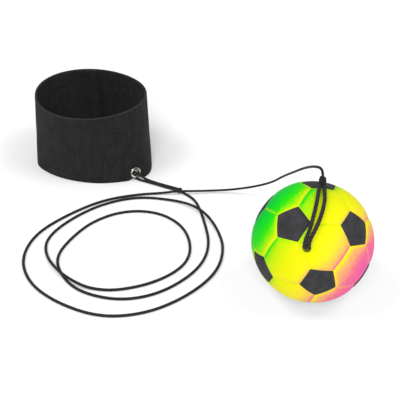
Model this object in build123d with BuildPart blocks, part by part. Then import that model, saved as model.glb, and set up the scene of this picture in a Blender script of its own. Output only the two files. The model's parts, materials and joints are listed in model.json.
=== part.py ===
"""Return ball on an elastic cord with an elastic wristband, in millimetres.

The row frame stands on the floor: +Z up, +Y from the ball's side towards the wristband's side, and
the origin at the middle of the footprint of the ball and the wristband together.
"""
import os
from math import cos, exp, radians, sin, tan

from build123d import *

# ---- driving dimensions -------------------------------------------------------------------------
BALL_RADIUS = 30.0
BALL_CENTRE = Vector(63.5, -72.2, BALL_RADIUS)
BORE_RADIUS = 2.3             # hole for the doubled loop, right through the ball
MOUTH_ROUND = 0.6             # rounded edge where the loop leaves the ball
RECESS_RADIUS = 4.5           # pocket for the stopper knot, at the back of the ball
RECESS_DEPTH = 7.0
BORE_TURN = 13.7              # the bore's mouth: degrees left of straight ahead (-Y) ...
BORE_RISE = 28.5              # ... and degrees above level

BAND_HEIGHT = 43.3
WEBBING = 1.3                 # thickness of the woven elastic
RIM_CENTRE = Vector(-59.1, 66.5)
RIM_RADIUS = 34.7             # outside, mean, at the top edge
RIM_AZIMUTH, RIM_OVAL, RIM_SKEW = 34.0, 1.3, -0.7     # second and third harmonics of the rim
HEM_CENTRE = Vector(-56.9, 65.7)
HEM_RADIUS = 35.6             # outside, mean, at the bottom edge
HEM_BULGE = 1.7               # third harmonic of the hem
HEM_POINT, POINT_AZIMUTH, POINT_WIDTH = 4.8, 52.0, 18.0    # the cord pulls the hem to a soft point
EYELET_AZIMUTH = 41.5         # degrees from straight ahead (-Y) towards +X
SEAM_START, SEAM_END = 178.0, 190.5   # where the webbing's ends overlap, inside the back
OUTLINE_POINTS = 40

EYELET_HEIGHT = 4.8
EYELET_HOLE = 1.7
BARREL_RADIUS = 2.0
FLANGE_RADIUS = 3.25
FLANGE = 0.35                 # thickness of the flange and of the washer
ARCH_HEIGHT, ARCH_HALF_WIDTH = 1.6, 4.8    # the hem is drawn up over the cord
STRIP_HEIGHT = 2.5            # middle of the webbing strip that the band loop goes round

CORD = 1.2                    # elastic cord
LOOP_CORD = 1.8               # the ball's loop, twisted from two plies
GAP = 0.3                     # between bodies that turn on each other

BAND_KNOT_CENTRE = Vector(-3.9, 21.0, 1.5)
BAND_KNOT_RADIUS = 1.5
BALL_KNOT_CENTRE = Vector(66.4, -70.0, 63.2)
BALL_KNOT_RADIUS, BALL_KNOT_HALF_LENGTH = 1.7, 2.9
STOPPER_RADIUS = 3.2

STITCH_LENGTH, STITCH_WIDTH, STITCH_PITCH, STITCH_PROUD = 2.0, 0.4, 3.0, 0.15

# ---- routes, chosen by hand: the points that each cord's runs turn at ----------------------------
# from the band knot, three loose turns on the floor, then over the cord and up to the ball knot
CORD_ROUTE = [
    (-2.9, 20.0, 1.1), (0.6, 17.2, 0.6), (5.5, 11, 0.6), (8.5, 0.5, 0.6), (11, -13, 0.6),
    (13.5, -31, 0.6), (11, -48, 0.6), (2, -63.5, 0.6), (-14, -77.5, 0.6), (-33, -82, 0.6),
    (-53, -75, 0.6), (-64, -61, 0.6), (-68.5, -45.5, 0.6), (-63.5, -29.5, 0.6), (-52.5, -11, 0.6),
    (-35, 0, 0.6), (-15.5, -1.5, 0.6), (-1, -15.5, 0.6), (4, -36, 0.6), (0.5, -53, 0.6),
    (-14, -67, 0.6), (-33.5, -74, 0.6), (-47, -72.5, 0.6), (-56.5, -68, 2.0), (-66.5, -58, 2.0),
    (-74.5, -43, 0.6), (-76, -28, 0.6), (-66.5, -10.5, 0.6), (-49.5, 6.5, 0.6), (-28.5, 15, 0.6),
    (-8, 11.5, 0.6), (3.5, 4.5, 2.0), (12, -5, 2.0), (18.5, -20, 0.6), (21.5, -38, 0.6),
    (17, -59.5, 0.6), (1.5, -79, 0.6), (-18, -92, 0.6), (-40, -95, 0.6), (-62, -84.5, 0.6),
    (-79, -68.5, 0.6), (-87, -47, 0.6), (-83, -24, 0.6), (-68.5, -5.5, 0.6), (-49, 11, 0.6),
    (-28, 17.5, 0.6), (-15, 18.4, 1.0), (-5, 18.7, 2.2), (4, 18.9, 2.1), (15, 20.5, 1.4),
    (28, 19.8, 2.6), (41, 17, 6.5), (50, 8, 15), (54.5, -6, 27.5), (58.5, -20, 38.5),
    (61.3, -36, 50.3), (62.6, -50, 59.4), (63.2, -58, 64.3), (64, -63.5, 67.4), (65.3, -67.6, 69.3),
    (66.2, -69.9, 68.5), (66.4, -70, 66.4),
]

# from the band knot to the eyelet, round the strip under its hole, and back under the hem:
# distances out from the strip, to the side, and the height
BAND_LOOP_ROUTE = [
    (27, 10.9, 1.5), (22.3, 9.1, 0.9), (16, 6.6, 0.6), (10.5, 4.3, 0.9), (6.3, 2.2, 2.4),
    (2.5, 0.4, 4.6), (-2.2, 0, 4.65), (-2.2, 0, 0.65), (3, 0.2, 0.6), (9, 2.3, 0.6),
    (15.5, 5, 0.6), (22, 7.6, 0.6), (27.2, 9.5, 1.4),
]

# the ball's loop lies in two strands on the ball, from the ball knot down to the bore's mouth:
# bearings about the ball's centre, from +X, and elevations, in degrees
LEFT_STRAND = [(-79, 84), (-95, 70), (-100, 55), (-103, 43), (-105.7, 35)]
RIGHT_STRAND = [(-35, 81), (-68, 72), (-86, 58), (-95, 46), (-101, 36)]
STRAND_REACH = 1.5            # of these points above the ball's surface
STRAND_SPACING = 2.0          # between the strands in the bore


def rim_radius(azimuth):
    """Outer radius of the rim: a circle pressed a little oval."""
    turn = radians(azimuth - RIM_AZIMUTH)
    return RIM_RADIUS + RIM_OVAL * cos(2 * turn) + RIM_SKEW * cos(3 * turn)


def hem_radius(azimuth):
    """Outer radius of the hem: a circle drawn out to a soft point near the eyelet."""
    turn = radians(azimuth - EYELET_AZIMUTH)
    from_point = (azimuth - POINT_AZIMUTH + 180) % 360 - 180
    return HEM_RADIUS + HEM_BULGE * cos(3 * turn) + HEM_POINT * exp(-((from_point / POINT_WIDTH) ** 2))


def wall_point(azimuth, height, inset=0.0):
    """A point of the band's leaning wall, inset from its outer face."""
    ray = Vector(sin(radians(azimuth)), -cos(radians(azimuth)))
    hem = HEM_CENTRE + ray * (hem_radius(azimuth) - inset)
    rim = RIM_CENTRE + ray * (rim_radius(azimuth) - inset)
    share = height / BAND_HEIGHT
    return hem * (1 - share) + rim * share + Vector(0, 0, height)


def wall_plane(azimuth, height, inset=0.0):
    """A plane on the wall: x along the webbing, y up the wall, z straight out of it."""
    along = (wall_point(azimuth + 1, height) - wall_point(azimuth - 1, height)).normalized()
    up = (wall_point(azimuth, height + 1) - wall_point(azimuth, height)).normalized()
    return Plane(origin=wall_point(azimuth, height, inset), x_dir=along, z_dir=along.cross(up))


def outline_face(height, inset):
    """The band's outline at a height, as a face."""
    azimuths = [360 * i / OUTLINE_POINTS for i in range(OUTLINE_POINTS)]
    with BuildSketch(Plane.XY.offset(height)) as outline:
        with BuildLine():
            Spline(*[tuple(wall_point(a, height, inset))[:2] for a in azimuths], periodic=True)
        make_face()
    return outline.sketch


def tube(name, route, diameter):
    """A plain tube along straight runs joined by arcs as large as the runs allow."""
    points = [Vector(*p) for p in route]
    runs = [b - a for a, b in zip(points, points[1:])]
    turns = [a.get_angle(b) for a, b in zip(runs, runs[1:])]
    radii = [0.45 * min(a.length, b.length) / tan(radians(turn / 2))
             for a, b, turn in zip(runs, runs[1:], turns)]
    with BuildPart() as cord:
        with BuildLine() as path:
            FilletPolyline(*points, radius=radii)
        centreline = path.wire()
        with BuildSketch(Plane(origin=centreline @ 0, z_dir=centreline % 0)) as section:
            Circle(diameter / 2)
        sweep(path=centreline)
    filled = cord.part.volume / section.sketch.area / centreline.length
    print(f"{name}: {centreline.length:.1f} mm, volume / (section x length) {filled:.4f}")
    print("  radii", " ".join(f"{r:.1f}" for r in radii))
    return cord


def save(piece, name):
    piece.label = name
    export_step(piece, f"parts/{name}.step")


os.makedirs("parts", exist_ok=True)

# ---- the ball -------------------------------------------------------------------------------------
bore_axis = Vector(0, -1, 0).rotate(Axis.X, -BORE_RISE).rotate(Axis.Z, -BORE_TURN)
mouth = Plane(origin=BALL_CENTRE, z_dir=bore_axis)
with BuildPart() as ball:
    with Locations(BALL_CENTRE):
        Sphere(BALL_RADIUS)
    with BuildSketch(mouth):
        Circle(BORE_RADIUS)
    extrude(amount=BALL_RADIUS + 1, both=True, mode=Mode.SUBTRACT)
    with BuildSketch(mouth.offset(RECESS_DEPTH - BALL_RADIUS)):
        Circle(RECESS_RADIUS)
    extrude(amount=-RECESS_DEPTH - 1, mode=Mode.SUBTRACT)
    fillet(ball.edges().filter_by(GeomType.CIRCLE).sort_by(Axis(BALL_CENTRE, bore_axis))[-1], MOUTH_ROUND)
save(ball.part, "ball")

# ---- the ball's loop: two strands, the knot above and the stopper inside ----------------------------


def above_ball(bearing, elevation):
    """A point of a strand's route, a little above the ball's surface."""
    level = cos(radians(elevation))
    ray = Vector(level * cos(radians(bearing)), level * sin(radians(bearing)), sin(radians(elevation)))
    return BALL_CENTRE + ray * (BALL_RADIUS + STRAND_REACH)


leftward = bore_axis.cross(Vector(0, 0, 1)).normalized()
stopper_centre = BALL_CENTRE - bore_axis * (BALL_RADIUS - RECESS_DEPTH + STOPPER_RADIUS + GAP)
for name, hand, bearings in (("ball_loop_left", 1, LEFT_STRAND), ("ball_loop_right", -1, RIGHT_STRAND)):
    apart = leftward * (hand * STRAND_SPACING / 2)
    top = BALL_KNOT_CENTRE + apart - Vector(0, 0, BALL_KNOT_HALF_LENGTH / 2)
    fold = BALL_CENTRE + bore_axis * (BALL_RADIUS + STRAND_REACH) + apart
    end = stopper_centre + bore_axis * (STOPPER_RADIUS - LOOP_CORD / 2) + apart
    strand = tube(name, [top, *[above_ball(*b) for b in bearings], fold, end], LOOP_CORD)
    save(strand.part, name)

with BuildPart() as ball_knot:
    with BuildSketch(Plane(origin=BALL_KNOT_CENTRE, x_dir=(1, 0, 0), z_dir=(0, -1, 0))):
        Ellipse(BALL_KNOT_RADIUS, BALL_KNOT_HALF_LENGTH)
        Rectangle(BALL_KNOT_RADIUS, 2 * BALL_KNOT_HALF_LENGTH, align=(Align.MAX, Align.CENTER),
                  mode=Mode.SUBTRACT)
    revolve(axis=Axis(BALL_KNOT_CENTRE, (0, 0, 1)))
save(ball_knot.part, "ball_knot")

with BuildPart() as stopper_knot:
    with Locations(stopper_centre):
        Sphere(STOPPER_RADIUS)
save(stopper_knot.part, "stopper_knot")

# ---- the wristband ----------------------------------------------------------------------------------
eyelet_plane = wall_plane(EYELET_AZIMUTH, EYELET_HEIGHT)
outward = Vector(sin(radians(EYELET_AZIMUTH)), -cos(radians(EYELET_AZIMUTH)))
arch_radius = (ARCH_HALF_WIDTH**2 + ARCH_HEIGHT**2) / (2 * ARCH_HEIGHT)
with BuildPart() as wristband:
    for inset, mode in ((0.0, Mode.ADD), (WEBBING, Mode.SUBTRACT)):
        loft([outline_face(0, inset), outline_face(BAND_HEIGHT, inset)], ruled=True, mode=mode)
    seam_arc = [SEAM_START + i * (SEAM_END - SEAM_START) / 5 for i in range(6)]
    for height in (0, BAND_HEIGHT):
        with BuildSketch(Plane.XY.offset(height)):
            with BuildLine():
                Polyline(*[tuple(wall_point(a, height, WEBBING - 0.2))[:2] for a in seam_arc],
                         *[tuple(wall_point(a, height, 2 * WEBBING))[:2] for a in reversed(seam_arc)],
                         close=True)
            make_face()
    loft(ruled=True)
    with BuildSketch(eyelet_plane):
        Circle(BARREL_RADIUS + 0.05)
    extrude(amount=2 * WEBBING, both=True, mode=Mode.SUBTRACT)
    arch_plane = Plane(origin=wall_point(EYELET_AZIMUTH, 0), x_dir=Vector(0, 0, 1).cross(outward),
                       z_dir=outward)
    with BuildSketch(arch_plane):
        with Locations((0, ARCH_HEIGHT - arch_radius)):
            Circle(arch_radius)
    extrude(amount=3 * WEBBING, both=True, mode=Mode.SUBTRACT)
save(wristband.part, "wristband")

# ---- its seam: lockstitches through both layers, in two rows ----------------------------------------
with BuildPart() as seam_stitching:
    rows = int(BAND_HEIGHT / STITCH_PITCH)
    for azimuth in (SEAM_START + 2.5, SEAM_END - 2.5):
        for row in range(rows):
            height = (BAND_HEIGHT - (rows - 1) * STITCH_PITCH) / 2 + row * STITCH_PITCH
            with BuildSketch(wall_plane(azimuth, height, -STITCH_PROUD)):
                SlotOverall(STITCH_LENGTH, STITCH_WIDTH, rotation=90)
            extrude(amount=-2 * (WEBBING + STITCH_PROUD))
save(seam_stitching.part, "seam_stitching")

# ---- the eyelet in the hem, and the washer that it is rolled over inside ------------------------------
washer_face = eyelet_plane.offset(-WEBBING - 0.2)
with BuildPart() as eyelet:
    with BuildSketch(eyelet_plane.offset(0.05)):
        Circle(FLANGE_RADIUS)
        Circle(EYELET_HOLE, mode=Mode.SUBTRACT)
    extrude(amount=FLANGE)
    with BuildSketch(eyelet_plane.offset(0.05)):
        Circle(BARREL_RADIUS)
        Circle(EYELET_HOLE, mode=Mode.SUBTRACT)
    extrude(amount=-WEBBING - FLANGE - 0.3)
    fillet(eyelet.edges().filter_by(GeomType.CIRCLE).group_by(SortBy.RADIUS)[-1], FLANGE / 2.5)
save(eyelet.part, "eyelet")

with BuildPart() as eyelet_washer:
    with BuildSketch(washer_face):
        Circle(FLANGE_RADIUS)
        Circle(BARREL_RADIUS + 0.02, mode=Mode.SUBTRACT)
    extrude(amount=-FLANGE)
save(eyelet_washer.part, "eyelet_washer")

# ---- the cord side ----------------------------------------------------------------------------------
strip = wall_point(EYELET_AZIMUTH, STRIP_HEIGHT, WEBBING / 2)
sideways = Vector(0, 0, 1).cross(outward)
band_loop_points = [Vector(strip.X, strip.Y, up) + outward * out + sideways * across
                    for out, across, up in BAND_LOOP_ROUTE]
band_loop = tube("band_loop", band_loop_points, CORD)
save(band_loop.part, "band_loop")

with BuildPart() as band_knot:
    with Locations(BAND_KNOT_CENTRE):
        Sphere(BAND_KNOT_RADIUS)
save(band_knot.part, "band_knot")

elastic_cord = tube("elastic_cord", CORD_ROUTE, CORD)
save(elastic_cord.part, "elastic_cord")

print("bore axis", bore_axis)
print("strip axis", strip, sideways)
footprint = Compound([ball.part, wristband.part, eyelet.part]).bounding_box()
print("ball and band box", footprint.min, footprint.max)
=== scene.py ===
"""Looks of the return ball with its elastic wristband, in metres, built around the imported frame."""

import json
from math import asin, cos, exp, pi, radians, sin, sqrt

import bmesh
import bpy
from mathutils import Euler, Matrix, Vector, noise


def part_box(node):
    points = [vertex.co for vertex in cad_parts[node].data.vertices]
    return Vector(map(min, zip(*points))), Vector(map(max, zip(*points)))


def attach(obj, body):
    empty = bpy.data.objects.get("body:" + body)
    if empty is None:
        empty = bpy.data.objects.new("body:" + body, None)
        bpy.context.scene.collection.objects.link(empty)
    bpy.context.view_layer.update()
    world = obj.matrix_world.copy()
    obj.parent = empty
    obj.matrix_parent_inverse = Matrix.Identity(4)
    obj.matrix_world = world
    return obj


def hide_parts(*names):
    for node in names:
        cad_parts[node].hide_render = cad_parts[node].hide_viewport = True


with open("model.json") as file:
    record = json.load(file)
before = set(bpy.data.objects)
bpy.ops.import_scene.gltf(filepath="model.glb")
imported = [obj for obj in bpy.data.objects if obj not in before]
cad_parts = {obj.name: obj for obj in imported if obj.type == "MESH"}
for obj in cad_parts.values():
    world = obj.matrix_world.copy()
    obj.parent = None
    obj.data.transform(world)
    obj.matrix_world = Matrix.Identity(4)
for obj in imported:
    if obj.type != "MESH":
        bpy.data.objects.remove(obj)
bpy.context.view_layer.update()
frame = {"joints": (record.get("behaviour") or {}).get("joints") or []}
scene = bpy.context.scene
joints = {joint["name"]: joint for joint in frame["joints"]}
MM = 0.001

# ---- sizes that repeat the CAD model's, in metres -----------------------------------------------
BALL_CENTRE = Vector(joints["ball_turn"]["pos_m"])
BORE_AXIS = Vector(joints["ball_turn"]["axis"]).normalized()
BALL_RADIUS = 0.030
RECESS_RADIUS, RECESS_DEPTH = 0.0045, 0.007
BALL_KNOT = Vector(joints["ball_swivel"]["pos_m"])
BAND_KNOT = Vector(joints["band_swing"]["pos_m"])

BAND_HEIGHT, WEBBING = 0.0433, 0.0013
RIM_CENTRE, RIM_RADIUS = Vector((-0.0591, 0.0665)), 0.0347
RIM_AZIMUTH, RIM_OVAL, RIM_SKEW = 34.0, 0.0013, -0.0007
HEM_CENTRE, HEM_RADIUS, HEM_BULGE = Vector((-0.0569, 0.0657)), 0.0356, 0.0017
HEM_POINT, POINT_AZIMUTH, POINT_WIDTH = 0.0048, 52.0, 18.0
EYELET_AZIMUTH, EYELET_HEIGHT = 41.5, 0.0048
SEAM_START, SEAM_END = 178.0, 190.5
ARCH_HEIGHT, ARCH_HALF_WIDTH = 0.0016, 0.0048
STRIP_HEIGHT = 0.0025
CORD, LOOP_CORD = 0.0012, 0.0018
STRAND_REACH = 0.0015                   # of the strands' route above the ball's surface
STRAND_SPACING = 0.002
STITCH_PITCH = 0.003

# ---- sizes that differ from the CAD model's -------------------------------------------------------
BORE_RADIUS = 0.0019                    # the CAD bore is wider, 0.0023
CORD_LOOK, LOOP_LOOK = 0.0015, 0.00195  # drawn thicker than CORD and LOOP_CORD
HEM_CREASE, CREASE_AZIMUTH, CREASE_WIDTH = 0.0009, 292.0, 11.0     # a soft corner that the CAD hem lacks
STITCH_LENGTH, STITCH_THICK = 0.0021, 0.00036                      # 0.002 and 0.0004 in the CAD

# ---- sizes of the finish -------------------------------------------------------------------------
PANEL_TURN = Euler([radians(a) for a in (-36.2, 52.8, -45.7)])    # how the ball's panels lie
PENTAGON_REACH = radians(18.1)          # from a pentagon's middle to its corners
PANEL_STEPS = 18                        # mesh rings from a panel's middle to its edge
SPRAY_AXIS = Vector((0.78, -0.437, -0.451)).normalized()           # from the green side to the pink
WALL_PICKUP = 1.25                      # how much a groove's walls catch or miss the spray
SPRAY_STOPS = [                         # colours from the green side to the pink side
    (0.03, (0.0, 0.48, 0.05)), (0.11, (0.0, 0.59, 0.012)), (0.17, (0.02, 0.64, 0.0)),
    (0.24, (0.24, 0.68, 0.0)), (0.34, (0.50, 0.69, 0.0)), (0.44, (0.68, 0.71, 0.0)),
    (0.58, (0.77, 0.73, 0.002)), (0.68, (0.80, 0.67, 0.02)), (0.76, (0.80, 0.48, 0.08)),
    (0.83, (0.80, 0.33, 0.15)), (0.89, (0.79, 0.14, 0.25)), (0.95, (0.79, 0.10, 0.33)),
]
RIBS = 176                              # round the band
RIB_DEPTH = 0.00004
PICK_PITCH = 0.00055                    # of the weave's rows up the band
COLUMNS_PER_RIB = 6
WALL_ROWS = 18
SEAM_LIFT = 0.0022                      # of the inner flap's loose edge, at the hem
SEAM_LIFT_REACH = 4.0                   # degrees over which that lift fades
SEAM_STEP = 0.35                        # half the width of the flap's step, in degrees
STITCH_OFFSET = 0.00002                 # of the stitches' middles from the webbing's faces
ROW_INSET = 2.5                         # of each row of stitches from the seam's edge, in degrees
EDGE_ROUNDING = 0.00042
WALL_SWAY = 0.00022
HOLE_RADIUS, HOLE_REACH = 0.00205, 0.004            # cut through the webbing for the eyelet
PRINT_DEPTH, PRINT_EDGE, PRINT_EDGE_MM = 0.00030, 0.00037, 0.45    # sunk pentagons, and a groove round each
SEAM_NICK, SEAM_NICK_MM = 0.00014, 0.8              # the hexagons' sharp edge
SEAM_SLOPE, SEAM_SLOPE_MM = 0.00050, 2.3            # and the wide soft slope down to it
NEAR_ZERO = 0.00001                     # stands for a point on an axis, or for two points that meet

# ---- routes, in metres -----------------------------------------------------------------------------
# The CAD route's points, except that those on the floor lie 0.15 mm higher, as the drawn cord is
# thicker, and the last lies 1.4 mm lower.
CORD_ROUTE = [
    (-0.0029, 0.02, 0.0011), (0.0006, 0.0172, 0.00075), (0.0055, 0.011, 0.00075),
    (0.0085, 0.0005, 0.00075), (0.011, -0.013, 0.00075), (0.0135, -0.031, 0.00075),
    (0.011, -0.048, 0.00075), (0.002, -0.0635, 0.00075), (-0.014, -0.0775, 0.00075),
    (-0.033, -0.082, 0.00075), (-0.053, -0.075, 0.00075), (-0.064, -0.061, 0.00075),
    (-0.0685, -0.0455, 0.00075), (-0.0635, -0.0295, 0.00075), (-0.0525, -0.011, 0.00075),
    (-0.035, 0, 0.00075), (-0.0155, -0.0015, 0.00075), (-0.001, -0.0155, 0.00075), (0.004, -0.036, 0.00075),
    (0.0005, -0.053, 0.00075), (-0.014, -0.067, 0.00075), (-0.0335, -0.074, 0.00075),
    (-0.047, -0.0725, 0.00075), (-0.0565, -0.068, 0.002), (-0.0665, -0.058, 0.002),
    (-0.0745, -0.043, 0.00075), (-0.076, -0.028, 0.00075), (-0.0665, -0.0105, 0.00075),
    (-0.0495, 0.0065, 0.00075), (-0.0285, 0.015, 0.00075), (-0.008, 0.0115, 0.00075),
    (0.0035, 0.0045, 0.002), (0.012, -0.005, 0.002), (0.0185, -0.02, 0.00075), (0.0215, -0.038, 0.00075),
    (0.017, -0.0595, 0.00075), (0.0015, -0.079, 0.00075), (-0.018, -0.092, 0.00075),
    (-0.04, -0.095, 0.00075), (-0.062, -0.0845, 0.00075), (-0.079, -0.0685, 0.00075),
    (-0.087, -0.047, 0.00075), (-0.083, -0.024, 0.00075), (-0.0685, -0.0055, 0.00075),
    (-0.049, 0.011, 0.00075), (-0.028, 0.0175, 0.00075), (-0.015, 0.0184, 0.001),
    (-0.005, 0.0187, 0.0022), (0.004, 0.0189, 0.0021), (0.015, 0.0205, 0.0014), (0.028, 0.0198, 0.0026),
    (0.041, 0.017, 0.0065), (0.05, 0.008, 0.015), (0.0545, -0.006, 0.0275), (0.0585, -0.02, 0.0385),
    (0.0613, -0.036, 0.0503), (0.0626, -0.05, 0.0594), (0.0632, -0.058, 0.0643),
    (0.064, -0.0635, 0.0674), (0.0653, -0.0676, 0.0693), (0.0662, -0.0699, 0.0685),
    (0.0664, -0.07, 0.065),
]

# Distances out from the strip under the eyelet, to its side, and the height: near the CAD's.
BAND_LOOP_ROUTE = [
    (0.0283, 0.0107, 0.0015), (0.0223, 0.0093, 0.0009), (0.016, 0.007, 0.00075),
    (0.0105, 0.005, 0.0008), (0.0062, 0.0033, 0.0013), (0.0036, 0.0017, 0.003), (0.0018, 0.0004, 0.0045),
    (-0.0022, 0, 0.00465), (-0.0022, 0, 0.0007), (0.0022, 0.0002, 0.00075), (0.0048, 0.0013, 0.00075),
    (0.009, 0.003, 0.00075), (0.0155, 0.0053, 0.00075), (0.022, 0.0077, 0.0008), (0.0285, 0.0097, 0.0014),
]

# Bearings about the ball's centre, from +X, and elevations, in degrees. The left strand's are the CAD's.
LEFT_STRAND = [(-79, 84), (-95, 70), (-100, 55), (-103, 43), (-105.7, 35)]
RIGHT_STRAND = [(-43, 81.5), (-72, 72), (-87.2, 58), (-95.2, 46), (-101.2, 36)]


def rim_radius(azimuth):
    """Outer radius of the rim: a circle pressed a little oval and uneven."""
    turn = radians(azimuth - RIM_AZIMUTH)
    return RIM_RADIUS + RIM_OVAL * cos(2 * turn) + RIM_SKEW * cos(3 * turn)


def hem_radius(azimuth):
    """Outer radius of the hem: a circle with three low bulges, a soft point and a slight corner."""
    turn = radians(azimuth - EYELET_AZIMUTH)
    from_point = (azimuth - POINT_AZIMUTH + 180) % 360 - 180
    crease = HEM_CREASE * exp(-(((azimuth - CREASE_AZIMUTH) / CREASE_WIDTH) ** 2))
    point = HEM_POINT * exp(-((from_point / POINT_WIDTH) ** 2))
    return HEM_RADIUS + HEM_BULGE * cos(3 * turn) + point + crease


def wall_point(azimuth, height, inset=0.0):
    """A point of the band's leaning wall, inset from its outer face."""
    ray = Vector((sin(radians(azimuth)), -cos(radians(azimuth))))
    hem = HEM_CENTRE + ray * (hem_radius(azimuth) - inset)
    rim = RIM_CENTRE + ray * (rim_radius(azimuth) - inset)
    return hem.lerp(rim, height / BAND_HEIGHT).to_3d() + Vector((0, 0, height))


def wall_matrix(azimuth, height, inset=0.0):
    """Axes on the wall: x along the webbing, y up the wall, z straight out of it."""
    along = (wall_point(azimuth + 1, height) - wall_point(azimuth - 1, height)).normalized()
    up = (wall_point(azimuth, height + MM) - wall_point(azimuth, height - MM)).normalized()
    out = along.cross(up).normalized()
    turn = Matrix((along, out.cross(along), out)).transposed()
    return Matrix.Translation(wall_point(azimuth, height, inset)) @ turn.to_4x4()


def smooth_step(low, high, value):
    """0 below low, 1 above high, and a smooth rise between them."""
    share = min(1.0, max(0.0, (value - low) / (high - low)))
    return share * share * (3 - 2 * share)


# ==== materials =======================================================================================
class Graph:
    """A Principled material and short ways to add nodes to it."""

    def __init__(self, name, **values):
        self.material = bpy.data.materials.new(name)
        self.material.use_nodes = True
        self.tree = self.material.node_tree
        self.shader = self.tree.nodes["Principled BSDF"]
        for socket, value in values.items():
            self.shader.inputs[socket.replace("_", " ")].default_value = value

    def node(self, kind, inputs=None, **settings):
        made = self.tree.nodes.new("ShaderNode" + kind)
        for key, value in settings.items():
            setattr(made, key, value)
        for key, value in (inputs or {}).items():
            if isinstance(value, bpy.types.NodeSocket):
                self.tree.links.new(value, made.inputs[key])
            else:
                made.inputs[key].default_value = value
        return made.outputs

    def math(self, operation, *values):
        return self.node("Math", dict(enumerate(values)), operation=operation)[0]

    def spread(self, value, low, high, to_low=0.0, to_high=1.0):
        """value mapped smoothly from low..high."""
        inputs = {"Value": value, "From Min": low, "From Max": high, "To Min": to_low, "To Max": to_high}
        return self.node("MapRange", inputs, interpolation_type="SMOOTHSTEP")[0]

    def mix(self, share, first, second):
        inputs = {0: share, 6: first, 7: second}
        return self.node("Mix", inputs, data_type="RGBA")[2]

    def noise(self, scale, detail=2.0, place=None):
        inputs = {"Scale": scale, "Detail": detail}
        if place is not None:
            inputs["Vector"] = place
        return self.node("TexNoise", inputs)[0]

    def colour(self, socket):
        self.tree.links.new(socket, self.shader.inputs["Base Color"])

    def bump(self, height, distance, strength=1.0):
        inputs = {"Height": height, "Distance": distance, "Strength": strength}
        normal = self.node("Bump", inputs)[0]
        self.tree.links.new(normal, self.shader.inputs["Normal"])


def sprayed_rubber():
    """Neon yellow sponge rubber, sprayed green from one side and pink from the other."""
    graph = Graph("sprayed_rubber", Roughness=0.55, Specular_IOR_Level=0.08)
    place = graph.node("TexCoord")["Object"]
    ray = graph.node("VectorMath", {0: place}, operation="NORMALIZE")[0]
    side = graph.node("VectorMath", {0: ray, 1: SPRAY_AXIS}, operation="DOT_PRODUCT")["Value"]
    slope = graph.node("TexCoord")["Normal"]
    facing = graph.node("VectorMath", {0: slope, 1: SPRAY_AXIS}, operation="DOT_PRODUCT")["Value"]
    tilt = graph.math("MULTIPLY", graph.math("SUBTRACT", facing, side), WALL_PICKUP)
    drift = graph.math("MULTIPLY_ADD", graph.noise(55, 1.5, place), 0.20, -0.10)
    speckle = graph.math("MULTIPLY_ADD", graph.noise(1100, 3.0, place), 0.30, -0.15)
    sprayed = graph.math("ADD", graph.math("ADD", graph.math("ADD", side, tilt), drift), speckle)
    ramp = graph.tree.nodes.new("ShaderNodeValToRGB")
    elements = ramp.color_ramp.elements
    while len(elements) < len(SPRAY_STOPS):
        elements.new(0.5)
    for element, (position, colour) in zip(elements, SPRAY_STOPS):
        element.position = position
        element.color = (*colour, 1)
    share = graph.math("MULTIPLY_ADD", sprayed, 0.5, 0.5)
    graph.tree.links.new(share, ramp.inputs[0])
    inset = graph.node("Attribute", attribute_name="inset_mm")["Fac"]
    worn = graph.math("ADD", inset, graph.math("MULTIPLY_ADD", graph.noise(700, 2.0, place), 0.9, -0.45))
    coated = graph.spread(worn, -0.2, 0.9, 0.55, 1.0)
    warm = graph.spread(side, -0.1, 0.5)
    base = graph.mix(warm, (0.66, 0.70, 0.0, 1), (0.80, 0.58, 0.01, 1))
    graph.colour(graph.mix(coated, base, ramp.outputs[0]))
    graph.bump(graph.noise(2600, 3.0, place), 0.00006, 0.6)
    return graph.material


def printed_pentagon():
    """Matt dark grey ink over the rubber."""
    graph = Graph("printed_pentagon", Roughness=0.7, Specular_IOR_Level=0.15)
    place = graph.node("TexCoord")["Object"]
    cloudy = graph.spread(graph.noise(240, 3.0, place), 0.3, 0.7)
    graph.colour(graph.mix(cloudy, (0.027, 0.026, 0.028, 1), (0.042, 0.040, 0.043, 1)))
    graph.bump(graph.noise(2400, 3.0, place), 0.00006, 0.7)
    return graph.material


def bare_rubber():
    """The unsprayed rubber inside the bore."""
    graph = Graph("bare_rubber", Roughness=0.7)
    place = graph.node("TexCoord")["Object"]
    pores = graph.spread(graph.noise(1800, 2.0, place), 0.35, 0.65)
    graph.colour(graph.mix(pores, (0.50, 0.52, 0.01, 1), (0.72, 0.76, 0.02, 1)))
    graph.bump(pores, 0.0001, 0.8)
    return graph.material


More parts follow.
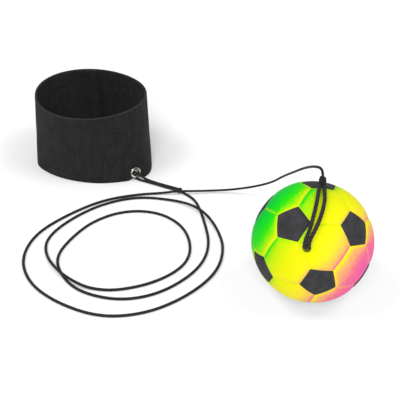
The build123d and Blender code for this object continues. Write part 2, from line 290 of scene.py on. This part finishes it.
def webbing():
    """Black ribbed elastic: ribs up the band, fine picks across them, a little lint; the crests of ribs and
    picks carry a painted highlight and their valleys a painted shade.
    """
    graph = Graph("ribbed_webbing", Roughness=0.85, Specular_IOR_Level=0.08, Sheen_Weight=0.02,
                  Sheen_Roughness=0.5)
    across, up, _ = graph.node("SeparateXYZ", {0: graph.node("UVMap", uv_map="UVMap")[0]})
    wave = graph.math("COSINE", graph.math("MULTIPLY", across, 2 * pi * RIBS))
    rib = graph.math("MULTIPLY_ADD", wave, 0.5, 0.5)
    row = graph.math("MULTIPLY", up, 2 * pi / PICK_PITCH)
    shift = graph.math("MULTIPLY", across, pi * RIBS)
    pick = graph.math("MULTIPLY_ADD", graph.math("SINE", graph.math("ADD", row, shift)), 0.5, 0.5)
    place = graph.node("TexCoord")["Object"]
    streaks = graph.node("Mapping", {"Vector": place, "Scale": (1, 1, 14)})[0]
    bands = graph.spread(graph.noise(70, 2.0, streaks), 0.3, 0.7)
    lint = graph.spread(graph.noise(2200, 2.0, place), 0.60, 0.74)
    dashes = graph.node("Mapping", {"Vector": place, "Scale": (1, 1, 0.35)})[0]
    broken = graph.spread(graph.noise(330, 2.0, dashes), 0.40, 0.62)
    ribbed = graph.math("MULTIPLY", rib, graph.math("MULTIPLY_ADD", broken, 0.75, 0.15))
    relief = graph.math("ADD", ribbed, graph.math("MULTIPLY", pick, 0.3))
    # painted shade and painted highlight: dark is the colour of the valleys between ribs and picks, lit the
    # colour of their crests
    dark = graph.mix(bands, (0.0125, 0.0125, 0.013, 1), (0.016, 0.016, 0.0163, 1))
    lit = graph.mix(bands, (0.0205, 0.0205, 0.021, 1), (0.025, 0.025, 0.0255, 1))
    weave_with_painted_shade = graph.mix(graph.spread(relief, 0.15, 1.1), dark, lit)
    fuzzy = graph.mix(graph.math("MULTIPLY", lint, 0.3), weave_with_painted_shade, (0.06, 0.06, 0.062, 1))
    edge = graph.math("ADD", graph.spread(up, 0.0423, 0.0431), graph.spread(up, 0.0009, 0.0002))
    graph.colour(graph.mix(graph.math("MULTIPLY", edge, 0.3), fuzzy, (0.05, 0.05, 0.052, 1)))
    graph.bump(relief, 0.00012, 0.9)
    return graph.material


def cord_cover(name, dark, light, turns, lay):
    """A braided cover: two families of yarns that wind along the cord, with a painted shade in the dents
    between them and a painted highlight, patchy at random, on their crests.
    """
    graph = Graph(name, Roughness=0.7, Specular_IOR_Level=0.2, Sheen_Weight=0.04)
    around, along, _ = graph.node("SeparateXYZ", {0: graph.node("UVMap", uv_map="UVMap")[0]})
    spin = graph.math("MULTIPLY", around, 2 * pi * turns)
    climb = graph.math("MULTIPLY", along, 2 * pi / lay)
    left = graph.math("SINE", graph.math("ADD", spin, climb))
    right = graph.math("SINE", graph.math("SUBTRACT", spin, climb))
    yarn = graph.math("MULTIPLY_ADD", graph.math("MAXIMUM", left, right), 0.5, 0.5)
    place = graph.node("TexCoord")["Object"]
    # painted shade in the dents between yarns; painted highlight on the yarns' crests, broken up by random
    # tone
    patchy_crest_highlight = graph.math("MULTIPLY", graph.noise(900, 2.0, place), graph.spread(yarn, 0.2, 1.0))
    graph.colour(graph.mix(graph.spread(patchy_crest_highlight, 0.12, 0.6), (*dark, 1), (*light, 1)))
    graph.bump(yarn, 0.00008, 0.8)
    return graph.material


def nickel():
    """Bright plating with fine scratches and dark blotches."""
    graph = Graph("nickel_plate", Metallic=1.0)
    place = graph.node("TexCoord")["Object"]
    scratch = graph.node("Mapping", {"Vector": place, "Scale": (1, 6, 1)})[0]
    marks = graph.spread(graph.noise(1500, 4.0, scratch), 0.35, 0.7)
    blotches = graph.spread(graph.noise(520, 2.0, place), 0.40, 0.58)
    polish = graph.mix(marks, (0.62, 0.59, 0.54, 1), (0.80, 0.78, 0.74, 1))
    graph.colour(graph.mix(blotches, (0.17, 0.155, 0.14, 1), polish))
    rough = graph.spread(marks, 0.0, 1.0, 0.16, 0.34)
    graph.tree.links.new(rough, graph.shader.inputs["Roughness"])
    graph.bump(marks, 0.00002, 0.5)
    return graph.material


def sewing_thread():
    """Dull black thread, twisted."""
    graph = Graph("sewing_thread", Roughness=0.85, Specular_IOR_Level=0.1)
    place = graph.node("TexCoord")["Object"]
    twist = graph.spread(graph.noise(4000, 2.0, place), 0.3, 0.7)
    graph.colour(graph.mix(twist, (0.004, 0.004, 0.0045, 1), (0.010, 0.010, 0.0105, 1)))
    graph.bump(twist, 0.00005, 0.7)
    return graph.material


def studio_floor():
    """White, faintly uneven in tone."""
    graph = Graph("studio_floor", Roughness=0.9, Specular_IOR_Level=0.1)
    tone = graph.spread(graph.noise(3, 1.0), 0.2, 0.8)
    graph.colour(graph.mix(tone, (0.90, 0.90, 0.90, 1), (0.92, 0.92, 0.92, 1)))
    return graph.material


# ==== mesh helpers ====================================================================================
def add_object(name, mesh, *materials):
    """A smooth-shaded object of the mesh, in the scene."""
    made = bpy.data.objects.new(name, mesh)
    scene.collection.objects.link(made)
    for material in materials:
        mesh.materials.append(material)
    for polygon in mesh.polygons:
        polygon.use_smooth = True
    return made


def evaluated_mesh(made):
    """The object's mesh with its modifiers applied."""
    bpy.context.view_layer.update()
    return bpy.data.meshes.new_from_object(made.evaluated_get(bpy.context.evaluated_depsgraph_get()))


def cut(piece, cutter):
    """Takes cutter out of piece, and removes it."""
    boolean = piece.modifiers.new("cut", "BOOLEAN")
    boolean.operation, boolean.object, boolean.solver = "DIFFERENCE", cutter, "EXACT"
    mesh = evaluated_mesh(piece)
    piece.modifiers.clear()
    piece.data = mesh
    bpy.data.objects.remove(cutter)


def ring_mesh(name, rings, closed_rings=False, cap=False):
    """A mesh through rings of points, each ring closed on itself."""
    count, size = len(rings), len(rings[0])
    points = [p for ring in rings for p in ring]
    faces = []
    for i in range(count if closed_rings else count - 1):
        for k in range(size):
            a, b = i * size, (i + 1) % count * size
            faces.append((a + k, a + (k + 1) % size, b + (k + 1) % size, b + k))
    if cap:
        faces.append(tuple(reversed(range(size))))
        faces.append(tuple(range((count - 1) * size, count * size)))
    mesh = bpy.data.meshes.new(name)
    mesh.from_pydata(points, [], faces)
    return mesh


def lathe(name, profile, matrix, steps, *materials):
    """A closed profile of (radius, distance along the axis), turned about matrix's z axis."""
    rings = [[matrix @ Vector((r * cos(2 * pi * k / steps), r * sin(2 * pi * k / steps), z))
              for r, z in profile] for k in range(steps)]
    mesh = ring_mesh(name, rings, closed_rings=True)
    return add_object(name, mesh, *materials)


def axis_matrix(origin, axis):
    """Axes at origin with z along axis."""
    return Matrix.Translation(origin) @ axis.to_track_quat("Z", "Y").to_matrix().to_4x4()


def read_spline(route, resolution):
    """Points along the route's own smooth line."""
    curve = bpy.data.curves.new("route", "CURVE")
    curve.dimensions = "3D"
    spline = curve.splines.new("NURBS")
    spline.points.add(len(route) - 1)
    for point, place in zip(spline.points, route):
        point.co = (*place, 1)
    spline.order_u = 3
    spline.use_endpoint_u = True
    spline.resolution_u = resolution
    guide = bpy.data.objects.new("route", curve)
    scene.collection.objects.link(guide)
    points = [vertex.co.copy() for vertex in evaluated_mesh(guide).vertices]
    bpy.data.objects.remove(guide)
    return points


def reaches(path):
    """Length along the path at each of its points."""
    total = [0.0]
    for a, b in zip(path, path[1:]):
        total.append(total[-1] + (b - a).length)
    return total


def tube(name, path, radius, material, sides=12, plies=0, lay=0.01, dent=0.0, closed=False):
    """A tube along path. radius is a number or a function of the share of its length; plies wind
    round it once in each lay length, with dents between them."""
    count = len(path)
    reach = reaches(path)
    thickness = radius if callable(radius) else lambda share: radius
    tangents = []
    for i in range(count):
        before = path[i - 1] if i or closed else path[0]
        after = path[(i + 1) % count] if i < count - 1 or closed else path[-1]
        tangents.append((after - before).normalized())
    normal = tangents[0].orthogonal().normalized()
    normals = [normal]
    for a, b in zip(tangents, tangents[1:]):
        normal = a.rotation_difference(b) @ normal
        normals.append((normal - b * normal.dot(b)).normalized())
    slip = 0.0
    if closed:
        last = tangents[-1].rotation_difference(tangents[0]) @ normals[-1]
        slip = normals[0].angle(last)
        if normals[0].cross(last).dot(tangents[0]) > 0:
            slip = -slip
    rings = []
    for i in range(count):
        side = tangents[i].cross(normals[i])
        slipped = slip * i / count
        ring = []
        for k in range(sides):
            turn = 2 * pi * k / sides
            wide = thickness(reach[i] / reach[-1])
            if plies:
                wide *= 1 - dent * (1 - abs(cos(plies / 2 * (turn - 2 * pi * reach[i] / lay))))
            ray = cos(turn + slipped) * normals[i] + sin(turn + slipped) * side
            ring.append(path[i] + wide * ray)
        rings.append(ring)
    mesh = ring_mesh(name, rings, closed_rings=closed, cap=not closed)
    layer = mesh.uv_layers.new(name="UVMap")
    for polygon in mesh.polygons[:(count - 1) * sides]:
        i, k = divmod(polygon.index, sides)
        corners = ((k, i), (k + 1, i), (k + 1, i + 1), (k, i + 1))
        for loop, (around, along) in zip(polygon.loop_indices, corners):
            layer.data[loop].uv = (around / sides, reach[min(along, count - 1)])
    return add_object(name, mesh, material)


def joined(name, parts):
    """Several objects as one piece."""
    with bpy.context.temp_override(active_object=parts[0], selected_editable_objects=parts):
        bpy.ops.object.join()
    parts[0].name = name
    return parts[0]


# ==== the camera =====================================================================================
LENS_MM, SENSOR_MM, NEAREST = 82.26, 36, 0.01
CAMERA_PLACE, CAMERA_TILT = (0.00835, -0.4393, 0.2892), 57.37      # tilt in degrees from straight down
camera = bpy.data.objects.new("camera", bpy.data.cameras.new("camera"))
camera.data.lens = LENS_MM
camera.data.sensor_width = SENSOR_MM
camera.data.clip_start = NEAREST
camera.location = CAMERA_PLACE
camera.rotation_euler = (radians(CAMERA_TILT), 0, 0)
scene.collection.objects.link(camera)
scene.camera = camera

elastic = cord_cover("elastic_cover", (0.005, 0.0045, 0.0055), (0.022, 0.0195, 0.023), 6, 0.0011)
loop_yarn = cord_cover("loop_yarn", (0.008, 0.007, 0.008), (0.034, 0.030, 0.033), 5, 0.0016)

# ==== the knots =======================================================================================
BAND_KNOT_SIZE, BAND_KNOT_CORD, BAND_KNOT_DROP = 0.0037, 0.00062, 0.0002
BALL_KNOT_HALF_LENGTH, BALL_KNOT_WIDE, BALL_KNOT_CORD = 0.0029, 0.0020, 0.00066
STOPPER_SIZE, STOPPER_CORD = 0.0068, 0.00105
KNOT_STEPS = 72


def tight_knot(name, centre, size, cord_radius, material, matrix=None):
    """An overhand knot pulled tight: a trefoil of cord, size across."""
    unit = (size / 2 - cord_radius) / 3
    lift = 1.15 * cord_radius / unit
    turn = matrix or Matrix()
    path = []
    for i in range(KNOT_STEPS):
        t = 2 * pi * i / KNOT_STEPS
        spot = Vector((sin(t) + 2 * sin(2 * t), cos(t) - 2 * cos(2 * t), -lift * sin(3 * t)))
        path.append(centre + turn @ (spot * unit))
    return tube(name, path, cord_radius, material, sides=12, closed=True)


band_knot = tight_knot("knot_at_band", BAND_KNOT - Vector((0, 0, BAND_KNOT_DROP)), BAND_KNOT_SIZE,
                       BAND_KNOT_CORD, elastic)
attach(band_knot, "tether")
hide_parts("band_knot")


def barrel_knot(name, centre, half_length, wide, cord_radius, material):
    """A knot of nearly four wraps round the loop's neck, narrower towards its top."""
    wraps, steps = 3.6, 110
    coil = []
    for i in range(steps + 1):
        share = i / steps
        turn = 2 * pi * wraps * share + 0.6
        height = (half_length - cord_radius) * (2 * share - 1)
        swell = 0.58 + 0.42 * sin(pi * (0.33 + 0.6 * share)) + 0.04 * sin(7.3 * share * pi)
        reach = (wide - cord_radius) * swell
        coil.append(centre + Vector((reach * cos(turn), reach * sin(turn), height)))
    core = [centre + Vector((0, 0, half_length * (i / 8 - 1))) for i in range(17)]
    wrap = tube(name, coil, cord_radius, material, sides=12)
    neck = tube(name + "_neck", core, lambda share: cord_radius * (1 + 0.5 * sin(pi * share)), material)
    return joined(name, [wrap, neck])


ball_knot = barrel_knot("knot_at_ball", BALL_KNOT, BALL_KNOT_HALF_LENGTH, BALL_KNOT_WIDE,
                        BALL_KNOT_CORD, elastic)
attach(ball_knot, "ball_loop")
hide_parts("ball_knot")

stopper_low, stopper_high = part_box("stopper_knot")
stopper_centre = (stopper_low + stopper_high) / 2
stopper_knot = tight_knot("knot_in_ball", stopper_centre, STOPPER_SIZE, STOPPER_CORD, loop_yarn,
                          axis_matrix(Vector(), BORE_AXIS))
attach(stopper_knot, "ball_loop")
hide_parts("stopper_knot")

# ==== the cords =======================================================================================
STRAND_DROP, STRAND_END = 0.00145, 0.0023           # from the knots' middles to the strands' ends
STRAND_LAY = 0.0062


def declare(piece, body, node):
    """Hangs a cord on the body it rides on, and hides the CAD part it stands for."""
    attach(piece, body)
    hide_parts(node)


def elastic_radius(share):
    """The last stretch is pulled thinner on its way up to the ball."""
    drawn = smooth_step(0.80, 0.86, share) - 0.35 * smooth_step(0.93, 0.97, share)
    return CORD_LOOK / 2 * (1 - 0.15 * drawn)


cord_path = read_spline(CORD_ROUTE, 14)
elastic_cord = tube("long_elastic_cord", cord_path, elastic_radius, elastic, sides=12)
declare(elastic_cord, "tether", "elastic_cord")

outward = Vector((sin(radians(EYELET_AZIMUTH)), -cos(radians(EYELET_AZIMUTH)), 0))
sideways = Vector((0, 0, 1)).cross(outward)
strip = wall_point(EYELET_AZIMUTH, STRIP_HEIGHT, WEBBING / 2)
band_loop_route = [Vector((strip.x, strip.y, up)) + outward * out + sideways * across
                   for out, across, up in BAND_LOOP_ROUTE]
loop_path = read_spline(band_loop_route, 20)
band_loop = tube("doubled_cord_at_band", loop_path, CORD_LOOK / 2, elastic, sides=14)
declare(band_loop, "band_loop", "band_loop")


def above_ball(bearing, elevation):
    """A point of a strand's route, a little above the ball's surface."""
    level = cos(radians(elevation))
    ray = Vector((level * cos(radians(bearing)), level * sin(radians(bearing)), sin(radians(elevation))))
    return BALL_CENTRE + ray * (BALL_RADIUS + STRAND_REACH)


leftward = BORE_AXIS.cross(Vector((0, 0, 1))).normalized()
for name, hand, bearings in (("left", 1, LEFT_STRAND), ("right", -1, RIGHT_STRAND)):
    apart = leftward * (hand * STRAND_SPACING / 2)
    top = BALL_KNOT + apart - Vector((0, 0, STRAND_DROP))
    fold = BALL_CENTRE + BORE_AXIS * (BALL_RADIUS + STRAND_REACH) + apart
    inside = fold - BORE_AXIS * 6 * LOOP_CORD
    end = stopper_centre + BORE_AXIS * STRAND_END + apart
    strand_path = read_spline([top, *[above_ball(*b) for b in bearings], fold, inside, end], 40)
    strand = tube(f"loop_strand_{name}", strand_path, LOOP_LOOK / 2, loop_yarn, sides=18, plies=3,
                  lay=STRAND_LAY * hand, dent=0.24)
    declare(strand, "ball_loop", f"ball_loop_{name}")

# ==== the ball ========================================================================================


def panel_outlines():
    """Corners of the twelve pentagons and of the hexagons between them, on a unit sphere."""
    golden = (1 + sqrt(5)) / 2
    corners = [Vector(p) for a in (-1, 1) for b in (-golden, golden)
               for p in ((0, a, b), (a, b, 0), (b, 0, a))]
    middles = [(PANEL_TURN.to_matrix() @ c).normalized() for c in corners]
    beside = cos(radians(64))            # neighbouring pentagons' middles are 63.4 degrees apart

    def towards(a, b):
        return a.slerp(b, PENTAGON_REACH / a.angle(b))

    pentagons, hexagons = [], []
    for i, middle in enumerate(middles):
        near = [m for m in middles if m is not middle and m.dot(middle) > beside]
        first = near[0]
        side = middle.cross(first)
        near.sort(key=lambda m: (m.dot(side) < 0, -first.dot(m) if m.dot(side) >= 0 else first.dot(m)))
        pentagons.append([towards(middle, m) for m in near])
        for j in range(i + 1, 12):
            for k in range(j + 1, 12):
                trio = (middle, middles[j], middles[k])
                if all(a.dot(b) > beside for a, b in zip(trio, trio[1:] + trio[:1])):
                    hexagons.append([corner for a, b in zip(trio, trio[1:] + trio[:1])
                                     for corner in (towards(a, b), towards(b, a))])
    return pentagons, hexagons


def panel_drop(inset_mm, pentagon):
    """How far the surface lies under the ball's full radius, by distance from the panel's edge."""
    if pentagon:
        return PRINT_DEPTH + PRINT_EDGE * exp(-((inset_mm / PRINT_EDGE_MM) ** 2))
    return SEAM_NICK * exp(-((inset_mm / SEAM_NICK_MM) ** 2)) + SEAM_SLOPE * exp(-inset_mm / SEAM_SLOPE_MM)


def build_ball():
    """Panels meshed ring by ring and welded, with the bore and its pocket cut out."""
    pentagons, hexagons = panel_outlines()
    points, faces, insets = [], [], []
    for panel in pentagons + hexagons:
        pentagon = len(panel) == 5
        middle = sum(panel, Vector()).normalized()
        walls = [a.cross(b).normalized() for a, b in zip(panel, panel[1:] + panel[:1])]
        walls = [w if w.dot(middle) > 0 else -w for w in walls]
        for a, b in zip(panel, panel[1:] + panel[:1]):
            if a.cross(b).dot(middle) < 0:
                a, b = b, a
            index = {}
            for ring in range(PANEL_STEPS + 1):
                reach = 1 - (1 - ring / PANEL_STEPS) ** 1.6
                for k in range(ring + 1):
                    along = k / ring if ring else 0.0
                    edge = a.slerp(b, along)
                    ray = middle.slerp(edge, reach) if reach < 1 else edge
                    inset = BALL_RADIUS / MM * min(asin(max(0.0, min(1.0, ray.dot(w)))) for w in walls)
                    index[ring, k] = len(points)
                    points.append(ray * (BALL_RADIUS - panel_drop(inset, pentagon)))
                    insets.append(inset)
            for ring in range(PANEL_STEPS):
                for k in range(ring + 1):
                    faces.append((index[ring, k], index[ring + 1, k], index[ring + 1, k + 1]))
                    if k < ring:
                        faces.append((index[ring, k], index[ring + 1, k + 1], index[ring, k + 1]))
    mesh = bpy.data.meshes.new("ball")
    mesh.from_pydata(points, [], faces)
    mesh.attributes.new("inset_mm", "FLOAT", "POINT").data.foreach_set("value", insets)
    work = bmesh.new()
    work.from_mesh(mesh)
    bmesh.ops.remove_doubles(work, verts=work.verts, dist=NEAR_ZERO)
    work.to_mesh(mesh)
    work.free()
    finishes = (sprayed_rubber(), printed_pentagon(), bare_rubber())
    ball = add_object("sprayed_ball", mesh, *finishes)
    mesh.polygons.foreach_set("material_index", face_finishes(mesh, pentagons))
    axis = axis_matrix(Vector(), BORE_AXIS)
    outside = BALL_RADIUS + MM
    bore_mouth = [(0.0022, outside), (0.0021, 0.0299), (0.0020, 0.0296), (BORE_RADIUS, 0.0288)]
    pocket_floor = [(BORE_RADIUS, RECESS_DEPTH - BALL_RADIUS), (RECESS_RADIUS, RECESS_DEPTH - BALL_RADIUS)]
    pocket_mouth = [(RECESS_RADIUS, -0.0288), (0.0048, -0.0294), (0.0054, -0.0298), (0.0058, -outside)]
    profile = [(NEAR_ZERO, outside), *bore_mouth, *pocket_floor, *pocket_mouth, (NEAR_ZERO, -outside)]
    cutter = lathe("bore_cutter", profile, axis, 40, *finishes)
    for polygon in cutter.data.polygons:
        polygon.material_index = 2
    turn_outward(cutter.data)
    cut(ball, cutter)
    ball.location = BALL_CENTRE
    return ball


def face_finishes(mesh, pentagons):
    """Material of each face: printed if it lies inside a pentagon."""
    middles = [sum(p, Vector()).normalized() for p in pentagons]
    spans = [[a.cross(b) for a, b in zip(p, p[1:] + p[:1])] for p in pentagons]
    spans = [[w if w.dot(m) > 0 else -w for w in walls] for walls, m in zip(spans, middles)]
    finishes = []
    for polygon in mesh.polygons:
        ray = polygon.center
        nearest = max(range(12), key=lambda i: ray.dot(middles[i]))
        finishes.append(1 if all(ray.dot(w) > 0 for w in spans[nearest]) else 0)
    return finishes


def turn_outward(mesh):
    """Turns a closed mesh's faces outward."""
    work = bmesh.new()
    work.from_mesh(mesh)
    bmesh.ops.recalc_face_normals(work, faces=work.faces)
    work.to_mesh(mesh)
    work.free()


ball = build_ball()
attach(ball, "ball")
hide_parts("ball")
ball.visible_diffuse = False            # its neon colours don't tint the floor

# ==== the wristband ===================================================================================


def hem_lift(azimuth):
    """The hem is drawn up over the cord, in a shallow arch under the eyelet."""
    along = radians((azimuth - EYELET_AZIMUTH + 180) % 360 - 180) * hem_radius(azimuth)
    radius = (ARCH_HALF_WIDTH**2 + ARCH_HEIGHT**2) / (2 * ARCH_HEIGHT)
    if abs(along) > ARCH_HALF_WIDTH:
        return 0.0
    return max(0.0, sqrt(radius**2 - along**2) - radius + ARCH_HEIGHT)


def flap(azimuth, height):
    """Extra thickness inside where the webbing's end overlaps, its edge a little loose at the hem."""
    on = smooth_step(SEAM_START - SEAM_STEP, SEAM_START + SEAM_STEP, azimuth)
    off = smooth_step(SEAM_END - SEAM_STEP, SEAM_END + SEAM_STEP, azimuth)
    loose = SEAM_LIFT * (1 - height / BAND_HEIGHT) * exp(-abs(azimuth - SEAM_START) / SEAM_LIFT_REACH)
    return (WEBBING * 0.85 + loose) * (on - off)


def build_band():
    """The webbing ring: outer face, rounded rim, inner face with its flap, and rounded hem."""
    columns = RIBS * COLUMNS_PER_RIB
    rounding = EDGE_ROUNDING
    rings, heights = [], []
    for column in range(columns):
        azimuth = 360 * column / columns
        rib = RIB_DEPTH * (cos(2 * pi * column / COLUMNS_PER_RIB) - 1) / 2
        low = hem_lift(azimuth)
        ring, marks = [], []
        for row in range(WALL_ROWS + 1):
            height = low + rounding + (BAND_HEIGHT - low - 2 * rounding) * row / WALL_ROWS
            sway = WALL_SWAY * noise.noise(Vector((azimuth / 14, height / 0.012, 0)))
            sway *= sin(pi * height / BAND_HEIGHT)
            ring.append(wall_point(azimuth, height, -rib - sway))
            marks.append(height)
        for height, inset in ((BAND_HEIGHT - rounding * 0.3, rounding * 0.35), (BAND_HEIGHT, WEBBING / 2)):
            ring.append(wall_point(azimuth, height, inset))
            marks.append(height)
        thick = WEBBING + flap(azimuth, BAND_HEIGHT)
        ring.append(wall_point(azimuth, BAND_HEIGHT - rounding * 0.3, thick - rounding * 0.35))
        marks.append(BAND_HEIGHT)
        for row in range(WALL_ROWS, -1, -1):
            height = low + rounding + (BAND_HEIGHT - low - 2 * rounding) * row / WALL_ROWS
            ring.append(wall_point(azimuth, height, WEBBING + flap(azimuth, height) + rib))
            marks.append(height)
        for share in (0.8, 0.2):
            ring.append(wall_point(azimuth, low + rounding * 0.15, (WEBBING + flap(azimuth, low)) * share))
            marks.append(low)
        rings.append(ring)
        heights.append(marks)
    mesh = ring_mesh("band", rings, closed_rings=True)
    layer = mesh.uv_layers.new(name="UVMap")
    size = len(rings[0])
    for polygon in mesh.polygons:
        column, k = divmod(polygon.index, size)
        corners = ((column, k), (column, (k + 1) % size), (column + 1, (k + 1) % size), (column + 1, k))
        for loop, (across, mark) in zip(polygon.loop_indices, corners):
            layer.data[loop].uv = (across / columns, heights[across % columns][mark])
    turn_outward(mesh)
    fabric = webbing()
    band = add_object("ribbed_wristband", mesh, fabric)
    barrel = [(NEAR_ZERO, HOLE_REACH), (HOLE_RADIUS, HOLE_REACH), (HOLE_RADIUS, -HOLE_REACH),
              (NEAR_ZERO, -HOLE_REACH)]
    cutter = lathe("hole_cutter", barrel, wall_matrix(EYELET_AZIMUTH, EYELET_HEIGHT), 32, fabric)
    turn_outward(cutter.data)
    cut(band, cutter)
    return band


band = build_band()
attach(band, "wristband")
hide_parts("wristband")

# ==== the seam's stitches =============================================================================


def build_stitches():
    """Two rows of stitches, seen on both faces of the webbing."""
    work = bmesh.new()
    rows = int(BAND_HEIGHT / STITCH_PITCH)
    for azimuth in (SEAM_START + ROW_INSET, SEAM_END - ROW_INSET):
        for row in range(rows):
            height = (BAND_HEIGHT - (rows - 1) * STITCH_PITCH) / 2 + row * STITCH_PITCH
            for inset in (-STITCH_OFFSET, WEBBING + flap(azimuth, height) + STITCH_OFFSET):
                shape = Matrix.Diagonal((STITCH_THICK, STITCH_LENGTH, STITCH_THICK * 0.8, 1))
                bmesh.ops.create_uvsphere(work, u_segments=10, v_segments=8, radius=0.5,
                                          matrix=wall_matrix(azimuth, height, inset) @ shape)
    mesh = bpy.data.meshes.new("stitches")
    work.to_mesh(mesh)
    work.free()
    return add_object("seam_thread", mesh, sewing_thread())


stitches = build_stitches()
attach(stitches, "wristband")
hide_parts("seam_stitching")

# ==== the eyelet and its washer =======================================================================
plate = nickel()
# closed outlines of (radius, distance out of the webbing), in millimetres
FLANGE_PROFILE = [(1.71, -1.75), (1.70, -0.6), (1.74, 0.0), (1.92, 0.32), (2.25, 0.50), (2.65, 0.49),
                  (3.02, 0.36), (3.25, 0.17), (3.28, 0.04), (3.10, 0.03), (2.12, 0.02), (2.0, -0.1),
                  (1.98, -1.75)]
WASHER_PROFILE = [(1.75, -1.72), (1.95, -1.98), (2.4, -2.06), (2.9, -1.95), (3.25, -1.68), (3.28, -1.50),
                  (3.1, -1.46), (2.05, -1.46), (2.0, -1.6)]
for name, node, profile in (("nickel_eyelet", "eyelet", FLANGE_PROFILE),
                            ("nickel_washer", "eyelet_washer", WASHER_PROFILE)):
    metal = lathe(name, [(r * MM, z * MM) for r, z in profile],
                  wall_matrix(EYELET_AZIMUTH, EYELET_HEIGHT), 64, plate)
    turn_outward(metal.data)
    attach(metal, "wristband")
    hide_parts(node)

# ==== the studio ======================================================================================
FLOOR_REACH = 4.0
SKY_STRENGTH = 0.60
LIGHT_TARGET = (0, 0, 0.02)
LIGHTS = [                              # name, place, size across, power in watts
    ("left", (-1.15, -0.2, 1.8), 1.0, 12.0),
    ("right", (1.15, -0.2, 1.8), 1.0, 10.5),
    ("front", (-0.2, -1.9, 1.5), 1.3, 27.0),
]
floor_corners = [(x * FLOOR_REACH, y * FLOOR_REACH, 0) for x, y in ((-1, -1), (1, -1), (1, 1), (-1, 1))]
floor_mesh = bpy.data.meshes.new("floor")
floor_mesh.from_pydata(floor_corners, [], [(0, 1, 2, 3)])
floor = add_object("floor", floor_mesh, studio_floor())


def area_light(name, place, target, size, power):
    """A round soft light that faces target."""
    lamp = bpy.data.lights.new(name, "AREA")
    lamp.shape, lamp.size, lamp.energy = "DISK", size, power
    made = bpy.data.objects.new(name, lamp)
    made.location = place
    made.rotation_euler = (Vector(target) - Vector(place)).to_track_quat("-Z", "Y").to_euler()
    scene.collection.objects.link(made)


for light_name, light_place, light_size, light_power in LIGHTS:
    area_light(light_name, light_place, LIGHT_TARGET, light_size, light_power)
world = bpy.data.worlds.new("studio")
world.use_nodes = True
world.node_tree.nodes["Background"].inputs["Color"].default_value = (1, 1, 1, 1)
world.node_tree.nodes["Background"].inputs["Strength"].default_value = SKY_STRENGTH
scene.world = world
scene.view_settings.view_transform = "Standard"
